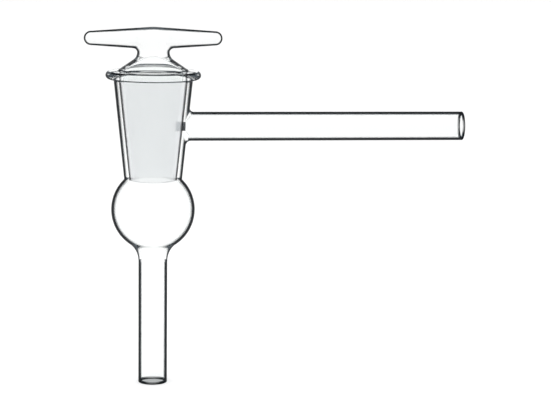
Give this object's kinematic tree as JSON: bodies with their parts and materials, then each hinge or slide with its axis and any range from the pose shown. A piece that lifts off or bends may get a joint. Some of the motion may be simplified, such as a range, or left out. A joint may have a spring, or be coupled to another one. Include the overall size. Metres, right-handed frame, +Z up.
{
  "type": "glass stopcock",
  "caption": "Right-angle glass vacuum stopcock: a hollow ground plug with a cross-bar handle turns in a tapered barrel that is fused to a bulb, a stem and a side arm.",
  "frame": {"origin": "centre of the stem's open lower end", "axes": "+Z up the axis of the stem, bulb, barrel and plug; +X out along the side arm"},
  "size_m": [0.1316, 0.0326, 0.1237],
  "materials": {
    "clear_glass": "gloss",
    "ground_glass": "satin"
  },
  "bodies": {
    "barrel": {"barrel": "clear_glass"},
    "plug": {"plug": "ground_glass"}
  },
  "joints": [
    {"name": "plug_turn", "type": "hinge", "parent": "barrel", "child": "plug", "pos_m": [0, 0, 0.0899], "axis": [0, 0, 1], "continuous": true}
  ]
}
